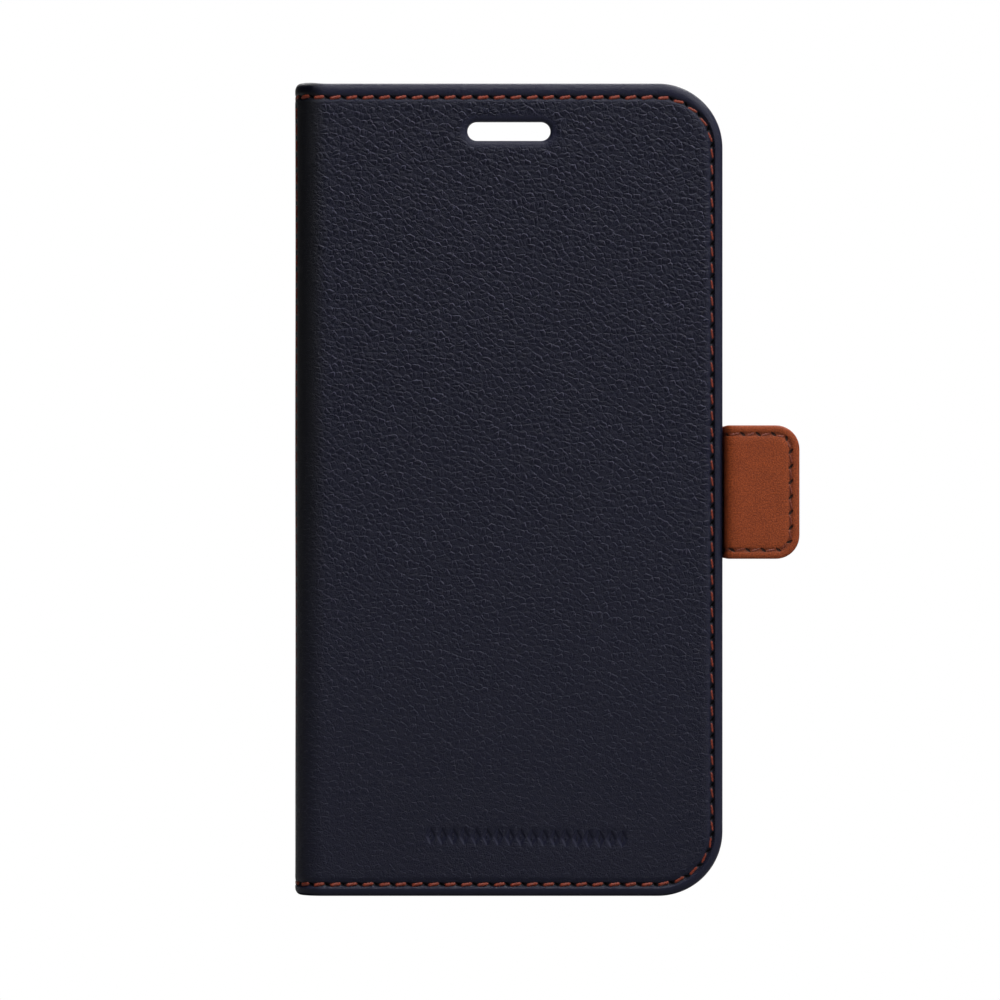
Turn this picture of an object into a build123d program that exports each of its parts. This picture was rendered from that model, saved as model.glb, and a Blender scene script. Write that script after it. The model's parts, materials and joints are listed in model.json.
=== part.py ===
"""Folding phone wallet case: a leather book cover with a phone tray, card pockets and a magnetic strap.

The case stands upright and closed. X runs from the spine to the strap, -Y is the front and Z is up.
The origin is the centre of the underside of the whole case, with the strap's tab standing out sideways.
All sizes are in millimetres.
"""

import math
import os

from build123d import *

# ---------------------------------------------------------------- driving dimensions
case_width = 83.5  # spine to free edge, closed
case_height = 158.4
cover_corner = 12.6  # radius of a cover's two free corners
spine_corner = 5.5  # outer radius where the leather turns from a cover to the spine
tab_reach = 14.9  # how far the open tab stands out past the covers

leather = 1.1
board = 0.6
lining = 0.5
turned_edge = 1.1  # width of the leather that is turned over a cover's edge

phone_width = 75.7
phone_height = 150.9
phone_depth = 8.3
phone_corner = 11.0
tray_wall = 1.0
tray_floor = 0.9
tray_lip = 0.6  # thickness of the snap lip in front of the phone
lip_reach = 0.5
tray_edge = 1.0
glue_pad = 0.2
glue_width = 56.0
glue_height = 92.0
glue_middle = 62.0

port_notch = 52.0
notch_floor = 2.0  # wall that is left standing behind a notch
volume_notch = (92.0, 134.0)
power_notch = (100.0, 122.0)

pocket_leather = 0.6
pocket_slit = 0.1
pocket_count = 4  # one note pocket and three card pockets
pocket_margin = 3.2  # sewn border of a pocket
pocket_inset = 0.3
note_start = 3.2  # the note pocket's mouth, from the cover's flat edge
note_drop = 18.0
card_start = 13.2
card_step = 9.0
card_bottom = 24.0
card_top = 118.0
closing_gap = 0.3  # air between the pockets and the tray with the case shut

strap_width = 26.0  # along Z
strap_drop = 0.46  # strap's centre below the middle of the case
strap_layer = 0.8  # one of the strap's two leathers
strap_gap = 0.3  # between the cover's edge and the strap's side panel
fold_gap = 0.2  # between the side panel's round end and the tab
tab_gap = 0.15  # between the front cover and the closed tab
tab_corner = 4.6
tab_seam_inset = 2.1
tongue_length = 11.0
tongue_gap = 0.15

magnet_radius = 4.0
magnet_depth = 0.7
magnet_spread = 5.6
magnet_setback = 0.7
keeper_width = 8.4
keeper_height = 20.0
keeper_depth = 0.4

slot_width = 16.2  # earpiece slot in the front cover
slot_height = 3.8
slot_drop = 9.35
slot_shift = 0.1
window_width = 62.0  # camera window in the back cover
window_height = 25.0
window_top = 5.0
window_corner = 7.0

seam_inset = 2.4  # stitch line in from an edge
thread_width = 0.7
thread_depth = 0.4
groove_depth = 0.45  # the thread lies just under the leather's surface
spine_seam_angle = 68.0  # place of the upright seam on the front corner's round, from the cover

crease_gap = 0.3  # slit between the leathers of two folding panels
crease_angle = 45.0  # the leather is creased at the middle of a corner's quarter round

# ---------------------------------------------------------------- places worked out from them
cover = leather + board + lining
tray_depth = tray_floor + phone_depth + tray_lip
pocket = pocket_leather + pocket_slit
strap = 2 * strap_layer
case_depth = 2 * cover + glue_pad + tray_depth + closing_gap + pocket_count * pocket

x_spine = -(case_width + tab_reach) / 2
x_edge = x_spine + case_width
x_flat = x_spine + spine_corner  # where a cover's flat part begins
x_phone = x_spine + case_width / 2 + slot_shift

y_back = (case_depth + tab_gap + strap) / 2
y_front = y_back - case_depth
y_tray = y_back - cover - glue_pad  # back of the tray's floor
y_seat = y_tray - tray_floor  # where the phone's back rests

z_middle = case_height / 2
z_strap = z_middle - strap_drop
seam_rows = (seam_inset, case_height - seam_inset)

x_strap = x_edge + strap_gap + strap_layer  # middle of the side panel's thickness
y_tab = y_front - tab_gap - strap_layer  # middle of the tab's thickness
y_root = y_back - leather - board / 2
x_tab = x_strap + strap_layer + fold_gap
x_magnet = (x_tab + x_edge + tab_reach) / 2 - magnet_setback
x_keeper = 2 * x_strap - x_magnet
side_seam_length = y_root - y_tab - strap

BACK = 1
FRONT = -1
slit_angle = math.degrees(math.asin(crease_gap / 2 / spine_corner))
seam_half_angle = math.degrees(thread_width / 2 / spine_corner)


def facing_front(y):
    """Plane parallel to the covers at depth y. An extrusion from it runs towards the front."""
    return Plane.XZ.offset(-y)


def outer_face(side):
    return y_back if side == BACK else y_front


def layer_plane(side, near, far):
    """Plane to extrude a layer from, where near and far are depths below that cover's outer face."""
    return facing_front(max(outer_face(side) - side * near, outer_face(side) - side * far))


def cover_face(inset, mode=Mode.ADD, left=x_flat):
    """Cover outline, drawn inside its three free edges by inset. Its spine side stays at left."""
    width = x_edge - inset - left
    height = case_height - 2 * inset
    with Locations((left + width / 2, z_middle)):
        RectangleRounded(width, height, cover_corner - inset, mode=mode)
    with Locations((left + width / 4, z_middle)):
        Rectangle(width / 2, height, mode=mode)


def edge_seam():
    """The strip that a seam's thread fills, round a cover's three free edges."""
    cover_face(seam_inset - thread_width / 2)
    cover_face(seam_inset + thread_width / 2, mode=Mode.SUBTRACT)


def camera_window(mode=Mode.SUBTRACT):
    with Locations((x_phone, case_height - window_top - window_height / 2)):
        RectangleRounded(window_width, window_height, window_corner, mode=mode)


def cover_opening(side):
    """The hole through every layer of one cover: earpiece slot in front, camera window behind."""
    if side == BACK:
        camera_window()
    else:
        with Locations((x_phone, case_height - slot_drop)):
            SlotOverall(slot_width, slot_height, mode=Mode.SUBTRACT)


def strap_root_slot():
    """Cut-out for the strap's root where it is glued in between leather and lining."""
    with Locations((x_edge, z_strap)):
        Rectangle(2 * tongue_length, strap_width, mode=Mode.SUBTRACT)


def corner_round(side, near, far, start, end):
    """Ring sector of a rounded corner between two depths. Angles run from the cover to the spine."""
    centre = (x_flat, outer_face(side) - side * spine_corner)
    first = side * (90 + start)
    turn = side * (end - start)
    with BuildLine(mode=Mode.PRIVATE) as outline:
        outside = CenterArc(centre, spine_corner - near, first, turn)
        inside = CenterArc(centre, spine_corner - far, first, turn)
        Line(outside @ 0, inside @ 0)
        Line(outside @ 1, inside @ 1)
    make_face(outline.edges())


def save(part, name):
    """Writes one finished node."""
    part.label = name
    export_step(part, f"parts/{name}.step")


# ---------------------------------------------------------------- covers
def make_cover_leather(side, name):
    """Outer leather: the cover's face, the edge turned round the board, and half of the corner."""
    with BuildPart() as skin:
        with BuildSketch(layer_plane(side, 0, leather)):
            cover_face(0)
            cover_opening(side)
        extrude(amount=leather)
        with BuildSketch(layer_plane(side, leather, cover)):
            cover_face(0)
            cover_face(turned_edge, mode=Mode.SUBTRACT)
        extrude(amount=board + lining)
        with BuildSketch():
            corner_round(side, 0, leather, 0, crease_angle - slit_angle)
        extrude(amount=case_height)
        with BuildSketch(layer_plane(side, 0, groove_depth)):
            edge_seam()
        extrude(amount=groove_depth, mode=Mode.SUBTRACT)
        for row in seam_rows:
            with BuildSketch(Plane.XY.offset(row - thread_width / 2)):
                corner_round(side, 0, groove_depth, 0, crease_angle)
            extrude(amount=thread_width, mode=Mode.SUBTRACT)
        if side == BACK:
            with Locations((x_edge, y_root, z_strap)):
                Box(2 * tongue_length, board, strap_width, mode=Mode.SUBTRACT)
    save(skin.part, name)


def make_cover_board(side, name):
    """Stiffener between leather and lining, cut away for the keeper plate or for the strap's root."""
    with BuildPart() as stiffener:
        with BuildSketch(layer_plane(side, leather, leather + board)):
            cover_face(turned_edge, left=x_flat + lining)
            cover_opening(side)
            if side == BACK:
                strap_root_slot()
            else:
                with Locations((x_keeper, z_strap)):
                    Rectangle(keeper_width, keeper_height, mode=Mode.SUBTRACT)
        extrude(amount=board)
    save(stiffener.part, name)


def make_cover_lining(side, name):
    """Lining: past the board's edge it steps down and follows the leather round half of the corner."""
    with BuildPart() as lining_sheet:
        with BuildSketch(layer_plane(side, leather + board, cover)):
            cover_face(turned_edge)
            cover_opening(side)
        extrude(amount=lining)
        with BuildSketch(layer_plane(side, leather, leather + board)):
            with Locations((x_flat + lining / 2, z_middle)):
                Rectangle(lining, case_height - 2 * turned_edge)
        extrude(amount=board)
        with BuildSketch(Plane.XY.offset(turned_edge)):
            corner_round(side, leather, leather + lining, 0, crease_angle - slit_angle)
        extrude(amount=case_height - 2 * turned_edge)
    save(lining_sheet.part, name)


def make_cover_thread(side, name):
    """Seam round the three free edges, carried on round the corner towards the spine."""
    surface_gap = groove_depth - thread_depth
    with BuildPart() as seam:
        with BuildSketch(layer_plane(side, surface_gap, groove_depth)):
            edge_seam()
        extrude(amount=thread_depth)
        for row in seam_rows:
            with BuildSketch(Plane.XY.offset(row - thread_width / 2)):
                corner_round(side, surface_gap, groove_depth, 0, crease_angle - slit_angle)
            extrude(amount=thread_width)
    save(seam.part, name)


def make_keeper_plate():
    """Steel plate behind the front leather, where the closed tab's magnets come to lie."""
    with BuildPart() as keeper:
        with BuildSketch(layer_plane(FRONT, leather, leather + keeper_depth)):
            with Locations((x_keeper, z_strap)):
                Rectangle(keeper_width, keeper_height)
        extrude(amount=keeper_depth)
    save(keeper.part, "closure_keeper_plate")


# ---------------------------------------------------------------- spine
def spine_section(near, far):
    """Section of the spine between its two creases: two half corners and the flat between them."""
    for side in (BACK, FRONT):
        corner_round(side, near, far, crease_angle + slit_angle, 90)
    with Locations((x_spine + (near + far) / 2, (y_back + y_front) / 2)):
        Rectangle(far - near, case_depth - 2 * spine_corner)


def spine_seam_section(near, far):
    """Section of the upright seam, on the front corner's round."""
    corner_round(FRONT, near, far, spine_seam_angle - seam_half_angle, spine_seam_angle + seam_half_angle)


def make_spine_leather():
    upright_length = case_height - 4 * seam_inset
    with BuildPart() as spine:
        with BuildSketch():
            spine_section(0, leather)
        extrude(amount=case_height)
        for row in seam_rows:
            with BuildSketch(Plane.XY.offset(row - thread_width / 2)):
                spine_section(0, groove_depth)
            extrude(amount=thread_width, mode=Mode.SUBTRACT)
        with BuildSketch(Plane.XY.offset(2 * seam_inset)):
            spine_seam_section(0, groove_depth)
        extrude(amount=upright_length, mode=Mode.SUBTRACT)
    save(spine.part, "spine_leather")


def make_spine_lining():
    with BuildPart() as spine:
        with BuildSketch(Plane.XY.offset(turned_edge)):
            spine_section(leather, leather + lining)
        extrude(amount=case_height - 2 * turned_edge)
    save(spine.part, "spine_lining")


def make_spine_thread():
    """The two rows that cross the spine and the upright seam beside the front crease."""
    surface_gap = groove_depth - thread_depth
    with BuildPart() as seam:
        for row in seam_rows:
            with BuildSketch(Plane.XY.offset(row - thread_width / 2)):
                spine_section(surface_gap, groove_depth)
            extrude(amount=thread_width)
        with BuildSketch(Plane.XY.offset(2 * seam_inset)):
            spine_seam_section(surface_gap, groove_depth)
        extrude(amount=case_height - 4 * seam_inset)
    save(seam.part, "spine_thread")


# ---------------------------------------------------------------- pockets
def pocket_outline(left, bottom, top, border=0, mode=Mode.ADD):
    """Pocket outline with its mouth at left. A border above 0 draws its hollow, open at the mouth."""
    with BuildSketch(mode=Mode.PRIVATE) as outline:
        cover_face(pocket_inset + border, left=left)
        with Locations((left + case_width / 2, (bottom + top) / 2)):
            Rectangle(case_width, top - bottom - 2 * border, mode=Mode.INTERSECT)
    add(outline.sketch, mode=mode)


def make_pocket(number, left, bottom, top, name):
    """Pocket leather with a thin slit behind it. Number 0 lies against the cover's lining."""
    depth = cover + number * pocket
    with BuildPart() as panel:
        with BuildSketch(layer_plane(FRONT, depth, depth + pocket)):
            pocket_outline(left, bottom, top)
        extrude(amount=pocket)
        with BuildSketch(layer_plane(FRONT, depth, depth + pocket_slit)):
            pocket_outline(left, bottom, top, border=pocket_margin)
        extrude(amount=pocket_slit, mode=Mode.SUBTRACT)
    save(panel.part, name)


# ---------------------------------------------------------------- tray
def phone_outline(outset):
    with Locations((x_phone, z_middle)):
        RectangleRounded(phone_width + 2 * outset, phone_height + 2 * outset, phone_corner + outset)


def make_phone_tray():
    """Snap-in tray: floor, wall and lip, open at the camera, the buttons and the charging port."""
    notch_depth = phone_depth + tray_lip - notch_floor
    y_notch = y_seat - notch_floor - notch_depth / 2
    with BuildPart() as tray:
        with BuildSketch(facing_front(y_tray)):
            phone_outline(tray_wall)
        extrude(amount=tray_depth)
        fillet(tray.faces().sort_by(Axis.Y)[-1].edges(), tray_edge)
        with BuildSketch(facing_front(y_seat)):
            phone_outline(0)
        extrude(amount=phone_depth, mode=Mode.SUBTRACT)
        with BuildSketch(facing_front(y_seat)):
            phone_outline(-lip_reach)
        extrude(amount=tray_depth, mode=Mode.SUBTRACT)
        with BuildSketch(facing_front(y_tray)):
            camera_window(mode=Mode.ADD)
        extrude(amount=tray_floor, mode=Mode.SUBTRACT)
        with Locations((x_phone, y_notch, z_middle - phone_height / 2)):
            Box(port_notch, notch_depth, 4 * tray_wall, mode=Mode.SUBTRACT)
        for side, (low, high) in ((-1, volume_notch), (1, power_notch)):
            with Locations((x_phone + side * phone_width / 2, y_notch, (low + high) / 2)):
                Box(4 * tray_wall, notch_depth, high - low, mode=Mode.SUBTRACT)
    save(tray.part, "phone_tray")


def make_glue_pad():
    with BuildPart() as pad:
        with BuildSketch(facing_front(y_tray + glue_pad)):
            with Locations((x_phone, glue_middle)):
                Rectangle(glue_width, glue_height)
        extrude(amount=glue_pad)
    save(pad.part, "tray_glue_pad")


# ---------------------------------------------------------------- strap
def make_strap_side(layer, name):
    """One leather of the side panel. Its ends are rounded about the two folds it turns on."""
    x_inner = x_strap - strap_layer + layer * strap_layer
    seam_x = x_inner + (strap_layer - groove_depth / 2 if layer else groove_depth / 2)
    with BuildPart() as panel:
        with BuildSketch(Plane.XY.offset(z_strap - strap_width / 2)):
            with Locations((x_strap, (y_root + y_tab) / 2)):
                Rectangle(strap, y_root - y_tab)
            with Locations((x_strap, y_root), (x_strap, y_tab)):
                Circle(strap_layer)
            with Locations((x_inner + strap_layer / 2, (y_root + y_tab) / 2)):
                Rectangle(strap_layer, 2 * case_depth, mode=Mode.INTERSECT)
        extrude(amount=strap_width)
        for row in (tab_seam_inset, strap_width - tab_seam_inset):
            with Locations((seam_x, (y_root + y_tab) / 2, z_strap - strap_width / 2 + row)):
                Box(groove_depth, side_seam_length, thread_width, mode=Mode.SUBTRACT)
    save(panel.part, name)


def make_strap_side_thread():
    """Both stitch lines of the side panel, seen on its inner and its outer face."""
    reach = strap_layer - groove_depth + thread_depth / 2
    with BuildPart() as seam:
        for x in (x_strap - reach, x_strap + reach):
            for row in (tab_seam_inset, strap_width - tab_seam_inset):
                with Locations((x, (y_root + y_tab) / 2, z_strap - strap_width / 2 + row)):
                    Box(thread_depth, side_seam_length, thread_width)
    save(seam.part, "strap_side_thread")


def make_root_tongue():
    """Root of the strap, glued between the back cover's leather and lining."""
    with BuildPart() as tongue:
        with Locations((x_edge + tongue_gap - tongue_length / 2, y_root, z_strap)):
            Box(tongue_length, board, strap_width)
    save(tongue.part, "strap_root_tongue")


def tab_face(inset, mode=Mode.ADD):
    """Tab outline with its two free corners rounded, drawn inside its free edges by inset."""
    width = x_edge + tab_reach - inset - x_tab
    height = strap_width - 2 * inset
    with Locations((x_tab + width / 2, z_strap)):
        RectangleRounded(width, height, tab_corner - inset, mode=mode)
    with Locations((x_tab + width / 4, z_strap)):
        Rectangle(width / 2, height, mode=mode)


def tab_seam():
    """The strip that the tab's thread fills, along its three free edges."""
    tab_face(tab_seam_inset - thread_width / 2)
    tab_face(tab_seam_inset + thread_width / 2, mode=Mode.SUBTRACT)


def magnet_discs():
    with Locations((x_magnet, z_strap - magnet_spread), (x_magnet, z_strap + magnet_spread)):
        Circle(magnet_radius)


def make_tab_leather(layer, name):
    """One leather of the tab, recessed for half of each magnet. Layer 1 is the front one."""
    y_start = y_tab if layer else y_tab + strap_layer
    y_recess = y_tab if layer else y_tab + magnet_depth / 2
    y_groove = y_tab - strap_layer + groove_depth if layer else y_start
    with BuildPart() as panel:
        with BuildSketch(facing_front(y_start)):
            tab_face(0)
        extrude(amount=strap_layer)
        with BuildSketch(facing_front(y_recess)):
            magnet_discs()
        extrude(amount=magnet_depth / 2, mode=Mode.SUBTRACT)
        with BuildSketch(facing_front(y_groove)):
            tab_seam()
        extrude(amount=groove_depth, mode=Mode.SUBTRACT)
    save(panel.part, name)


def make_tab_thread():
    """The tab's seam, seen on its front and on its back."""
    reach = strap_layer - groove_depth
    with BuildPart() as seam:
        for y in (y_tab - reach, y_tab + reach + thread_depth):
            with BuildSketch(facing_front(y)):
                tab_seam()
            extrude(amount=thread_depth)
    save(seam.part, "tab_thread")


def make_tab_magnets():
    with BuildPart() as magnets:
        with BuildSketch(facing_front(y_tab + magnet_depth / 2)):
            magnet_discs()
        extrude(amount=magnet_depth)
    save(magnets.part, "tab_magnets")


def make_all():
    for side, name in ((BACK, "back"), (FRONT, "front")):
        make_cover_leather(side, f"{name}_leather")
        make_cover_board(side, f"{name}_board")
        make_cover_lining(side, f"{name}_lining")
        make_cover_thread(side, f"{name}_thread")
    make_keeper_plate()
    make_spine_leather()
    make_spine_lining()
    make_spine_thread()
    make_pocket(0, x_flat + note_start, pocket_inset, case_height - note_drop, "note_pocket")
    for number in range(1, pocket_count):
        left = x_flat + card_start + (number - 1) * card_step
        make_pocket(number, left, card_bottom, card_top, f"card_pocket_{number}")
    make_phone_tray()
    make_glue_pad()
    make_root_tongue()
    make_strap_side(0, "strap_side_inner_leather")
    make_strap_side(1, "strap_side_outer_leather")
    make_strap_side_thread()
    make_tab_leather(0, "tab_back_leather")
    make_tab_leather(1, "tab_front_leather")
    make_tab_thread()
    make_tab_magnets()


os.makedirs("parts", exist_ok=True)
make_all()
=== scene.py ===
import json
import math
import random
from collections import namedtuple

import bmesh
import bpy
import numpy as np
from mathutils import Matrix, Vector
from mathutils.geometry import tessellate_polygon


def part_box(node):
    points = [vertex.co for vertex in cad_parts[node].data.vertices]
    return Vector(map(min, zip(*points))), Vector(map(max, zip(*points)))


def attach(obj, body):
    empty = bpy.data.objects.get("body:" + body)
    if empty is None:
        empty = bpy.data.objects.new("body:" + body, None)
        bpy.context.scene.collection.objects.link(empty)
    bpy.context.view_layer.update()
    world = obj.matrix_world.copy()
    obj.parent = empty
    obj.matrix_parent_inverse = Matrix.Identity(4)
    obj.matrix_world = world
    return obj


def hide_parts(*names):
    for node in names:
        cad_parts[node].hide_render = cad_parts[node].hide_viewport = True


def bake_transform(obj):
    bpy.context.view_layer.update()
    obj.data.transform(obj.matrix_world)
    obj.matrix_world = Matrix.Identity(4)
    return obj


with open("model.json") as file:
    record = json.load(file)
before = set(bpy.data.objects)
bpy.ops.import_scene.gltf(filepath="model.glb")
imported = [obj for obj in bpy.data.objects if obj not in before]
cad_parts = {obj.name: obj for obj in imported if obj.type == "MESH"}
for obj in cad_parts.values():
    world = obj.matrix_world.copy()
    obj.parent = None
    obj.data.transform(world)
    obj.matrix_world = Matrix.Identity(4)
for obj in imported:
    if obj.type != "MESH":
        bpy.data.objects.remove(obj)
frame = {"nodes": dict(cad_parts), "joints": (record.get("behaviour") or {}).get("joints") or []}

random.seed(7)
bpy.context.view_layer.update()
MM = 0.001
BACK = 1
FRONT = -1


# ---- sizes, in millimetres
def node_box(node):
    """Lowest and highest corner of a CAD node."""
    low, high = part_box(node)
    return np.array(low) / MM, np.array(high) / MM


front_low, front_high = node_box("front_leather")
back_high = node_box("back_leather")[1]
tray_low, tray_high = node_box("phone_tray")
side_low, side_high = node_box("strap_side_inner_leather")
tab_low, tab_high = node_box("tab_front_leather")
tab_back_high = node_box("tab_back_leather")[1]
note_low, note_high = node_box("note_pocket")
pocket_boxes = [node_box(f"card_pocket_{number}") for number in (1, 2, 3)]
joints = {joint["name"]: joint for joint in frame["joints"]}

height = front_high[2]
x_spine = node_box("spine_leather")[0][0]
x_edge = front_high[0]
x_phone = (tray_low[0] + tray_high[0]) / 2
y_front = front_low[1]
y_back = back_high[1]
z_strap = (side_low[2] + side_high[2]) / 2
strap_width = side_high[2] - side_low[2]
x_strap = side_high[0]
y_tab = tab_high[1]
y_root = joints["strap_root_fold"]["pos_m"][1] / MM

spine_corner = 5.5
cover_corner = 12.6
leather = 1.1
cover = 2.2
board = 0.6
edge_radius = cover / 2
lining_inset = edge_radius + 0.06  # the lining stops this far inside the cover's free edges
edge_roll = 1.45  # the outer leather rolls over the edge this far in
seam_bottom, seam_side, seam_top = 2.3, 2.08, 2.77
face_inset = 3.7  # where the edge zone gives way to the face
stitch_pitch = 3.2
nodes_per_stitch = 6

# An opening's drop is from the top of the cover to its middle. Its corner radii are those in the outer
# leather, on the cover's inner face and in the lining. Room is what its block in the skin's grid has to
# spare, and lining_room in the lining's. Its lip is rolled, as (distance outside it, depth) pairs.
Opening = namedtuple("Opening", "width tall drop corners room lining_room lip")
slot = Opening(16.2, 3.7, 9.35, (1.849, 2.25, 1.99), (6, 5), (8, 6), [
    (1.5, 0), (1.1, 0.02), (0.8, 0.07), (0.5, 0.18), (0.25, 0.34), (0.08, 0.56), (0, 0.85),
])
window = Opening(62.0, 25.0, 17.5, (7.0, 7.4, 7.15), (5, 3.6), (6, 4), [
    (1.3, 0), (1.0, 0.02), (0.7, 0.08), (0.4, 0.24), (0.18, 0.45), (0.05, 0.7), (0, 0.95),
])
openings = {FRONT: slot, BACK: window}
inner_growth, lining_growth = 0.8, 0.3  # how much wider an opening is there than in the outer leather

half_spine = (y_back - y_front) / 2 - spine_corner
flat_start = half_spine + spine_corner * math.pi / 2  # arc length at which a cover's flat part begins
x_flat = x_spine + spine_corner
cover_length = flat_start + x_edge - x_flat
spine_seam_angle = math.radians(17)
spine_seam = half_spine + spine_corner * spine_seam_angle
spine_drift = 1.0
spine_seam_margin = 4.2  # the upright seam stops this far short of the cover's ends
corner_fullness = 0.24  # the turned-over leather bulks up at the top of the spine's corner


def outer_face(side):
    return y_back if side == BACK else y_front


def smooth(start, end, value):
    """Smoothstep from 0 at start to 1 at end."""
    t = np.clip((np.asarray(value, float) - start) / (end - start), 0, 1)
    return t * t * (3 - 2 * t)


def arc_length(x):
    """Distance from the middle of the spine, round its corner, to a place on a cover."""
    return flat_start + x - x_flat


# ---- from a flat sheet to its place
def wrap_cover(side):
    """Sheet coordinates (along the skin from the spine's middle, height, depth) to the row frame."""
    corner_y = outer_face(side) - side * spine_corner

    def wrap(s, z, depth):
        angle = np.clip((s - half_spine) / spine_corner, 0, math.pi / 2)
        radius = spine_corner - depth
        fullness = smooth(half_spine - 1.5, half_spine + 1.5, s)
        fullness = fullness * (1 - smooth(flat_start - 4, flat_start + 1, s))
        z = z + corner_fullness * fullness * smooth(0.5, 1, z / height)
        x = x_flat - radius * np.cos(angle) + np.maximum(s - flat_start, 0)
        y = corner_y + side * (radius * np.sin(angle) - np.maximum(half_spine - s, 0))
        return np.stack([x, y, z], -1)

    return wrap


def wrap_lining(side):
    """As wrap_cover. Past the board's edge the lining lies a board's thickness nearer to the leather."""
    place = wrap_cover(side)

    def wrap(s, z, depth):
        step = board * (1 - smooth(flat_start - 0.2, flat_start + 1.2, s))
        return place(s, z, depth - step)

    return wrap


def wrap_strap(straight, bend, turn, heading, start, thickness):
    """A strap that runs straight, bends a quarter turn and runs on. Depth 0 is on its convex side."""

    def wrap(s, z, depth):
        turned = np.clip((s - straight) / bend, 0, math.pi / 2)
        angle = heading + turn * turned
        run_on = np.maximum(s - straight - bend * math.pi / 2, 0)
        run_in = np.minimum(s, straight)
        centre = np.array(start) + run_in[:, None] * direction(np.full_like(s, heading))
        centre = centre + bend * turn * (normal_of(heading) - normal_of(angle))
        centre = centre + run_on[:, None] * direction(angle)
        outward = -turn * normal_of(angle)
        half = thickness(s) / 2
        place = centre + outward * (half * (1 - depth))[:, None]
        return np.stack([place[:, 0], place[:, 1], z + z_strap - strap_width / 2], -1)

    return wrap


def direction(angle):
    return np.stack([np.cos(angle), np.sin(angle)], -1)


def normal_of(angle):
    """Left-hand normal of a heading."""
    angle = np.asarray(angle, float)
    return np.stack([-np.sin(angle), np.cos(angle)], -1)


# ---- mesh building
class Shell:
    """Points in sheet coordinates with their texture place, and the faces between them."""

    def __init__(self):
        self.points = []
        self.places = []
        self.seams = []
        self.grains = []
        self.faces = []
        self.cut_faces = []
        self.materials = []
        self.count = 0

    def add(self, s, z, depth, texture=None, seam=(0.0, 50.0), grain=1.0):
        s, z, depth = np.broadcast_arrays(*(np.asarray(a, float) for a in (s, z, depth)))
        texture = np.stack([s, z], -1) if texture is None else texture
        self.points.append(np.stack([s, z, depth], -1).reshape(-1, 3))
        self.places.append(np.asarray(texture, float).reshape(-1, 2))
        self.seams.append(np.broadcast_to(np.asarray(seam, float), (s.size, 2)))
        self.grains.append(np.broadcast_to(np.asarray(grain, float).ravel(), (s.size,)))
        index = np.arange(self.count, self.count + s.size).reshape(s.shape)
        self.count += s.size
        return index

    def face(self, corners, material=0):
        self.faces.append([int(c) for c in corners])
        self.materials.append(material)

    def strip(self, first, second, closed=False, material=0):
        """Quads between two rows of points."""
        count = len(first) if closed else len(first) - 1
        for k in range(count):
            n = (k + 1) % len(first)
            self.face((first[k], first[n], second[n], second[k]), material)

    def fill(self, loops, plane, cut=False):
        """Flat face with holes, from its outer loop and its hole loops. Plane gives its two axes.

        A cut face meets its neighbours at a sharp edge.
        """
        first = len(self.faces)
        points = np.concatenate(self.points)
        flat = [[(*points[i][list(plane)], 0.0) for i in loop] for loop in loops]
        order = [i for loop in loops for i in loop]
        for triangle in tessellate_polygon(flat):
            self.face([order[i] for i in triangle])
        if cut:
            self.cut_faces += range(first, len(self.faces))


def make_piece(name, shell, wrap, materials):
    """Places a shell's points, tidies the mesh and returns it as an object."""
    points = np.concatenate(shell.points)
    placed = wrap(*points.T) * MM
    mesh = bpy.data.meshes.new(name)
    mesh.from_pydata(placed.tolist(), [], shell.faces)
    corner = np.empty(len(mesh.loops), np.int32)
    mesh.loops.foreach_get("vertex_index", corner)
    for layer_name, places in (("sheet", shell.places), ("seam", shell.seams)):
        layer = mesh.uv_layers.new(name=layer_name)
        layer.data.foreach_set("uv", np.concatenate(places)[corner].astype(np.float32).ravel())
    grain = mesh.attributes.new("grain", "FLOAT", "POINT")
    grain.data.foreach_set("value", np.concatenate(shell.grains).astype(np.float32))
    mesh.polygons.foreach_set("material_index", np.array(shell.materials, np.int32))
    smooth_faces = np.ones(len(mesh.polygons), bool)
    smooth_faces[np.array(shell.cut_faces, int)] = False
    mesh.polygons.foreach_set("use_smooth", smooth_faces)
    for material in materials:
        mesh.materials.append(material)
    work = bmesh.new()
    work.from_mesh(mesh)
    bmesh.ops.delete(work, geom=[v for v in work.verts if not v.link_faces], context="VERTS")
    bmesh.ops.recalc_face_normals(work, faces=work.faces)
    work.to_mesh(mesh)
    work.free()
    piece = bpy.data.objects.new(name, mesh)
    bpy.context.scene.collection.objects.link(piece)
    return piece


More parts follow.
